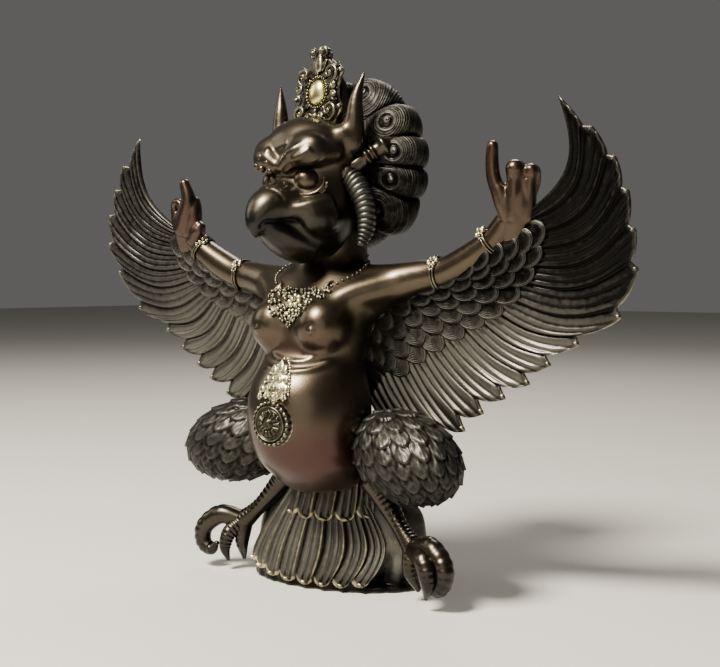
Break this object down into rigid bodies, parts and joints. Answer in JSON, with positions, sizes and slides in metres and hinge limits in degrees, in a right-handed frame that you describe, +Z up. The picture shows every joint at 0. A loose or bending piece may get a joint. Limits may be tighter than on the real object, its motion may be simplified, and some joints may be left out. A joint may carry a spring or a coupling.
{
  "type": "garuda figure",
  "caption": "Crouching garuda statuette cast in bronze, arms raised and wings spread, standing on its own fanned tail.",
  "frame": {"origin": "on the flat underside of the tail, below the neck", "axes": "+X to the figure's left, along the spread wings; the belly faces -Y; +Z up"},
  "size_m": [0.2618, 0.0726, 0.218],
  "materials": {
    "bronze": "dark brown-black patinated bronze, satin on the body, drier grey-green on the feathers, rubbed to gold on raised ornament"
  },
  "bodies": {
    "root": {"garuda_figure": "bronze"}
  },
  "joints": []
}
